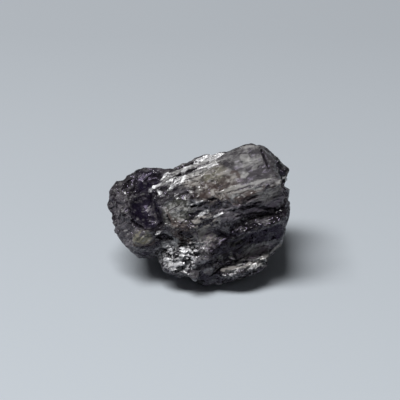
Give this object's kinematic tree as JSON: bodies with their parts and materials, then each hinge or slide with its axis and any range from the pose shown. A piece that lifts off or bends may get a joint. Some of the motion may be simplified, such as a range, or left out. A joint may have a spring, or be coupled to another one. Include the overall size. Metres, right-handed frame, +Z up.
{
  "type": "rough tanzanite",
  "caption": "Rough tanzanite crystal: an irregular broken prism with a humped pale upper block, a scooped lobe, ledges along its grain and a granular shelf, lying on a small flat spot.",
  "frame": {"origin": "under the middle of the stone's bounding box, on the plane that it rests on", "axes": "+X along the stone's long direction, towards its higher end; +Z up"},
  "size_m": [0.0254, 0.0146, 0.0183],
  "materials": {
    "tanzanite": "glassy broken crystal, near-black to lilac grey and indigo, with silvery glints"
  },
  "bodies": {
    "root": {"stone": "tanzanite"}
  },
  "joints": []
}
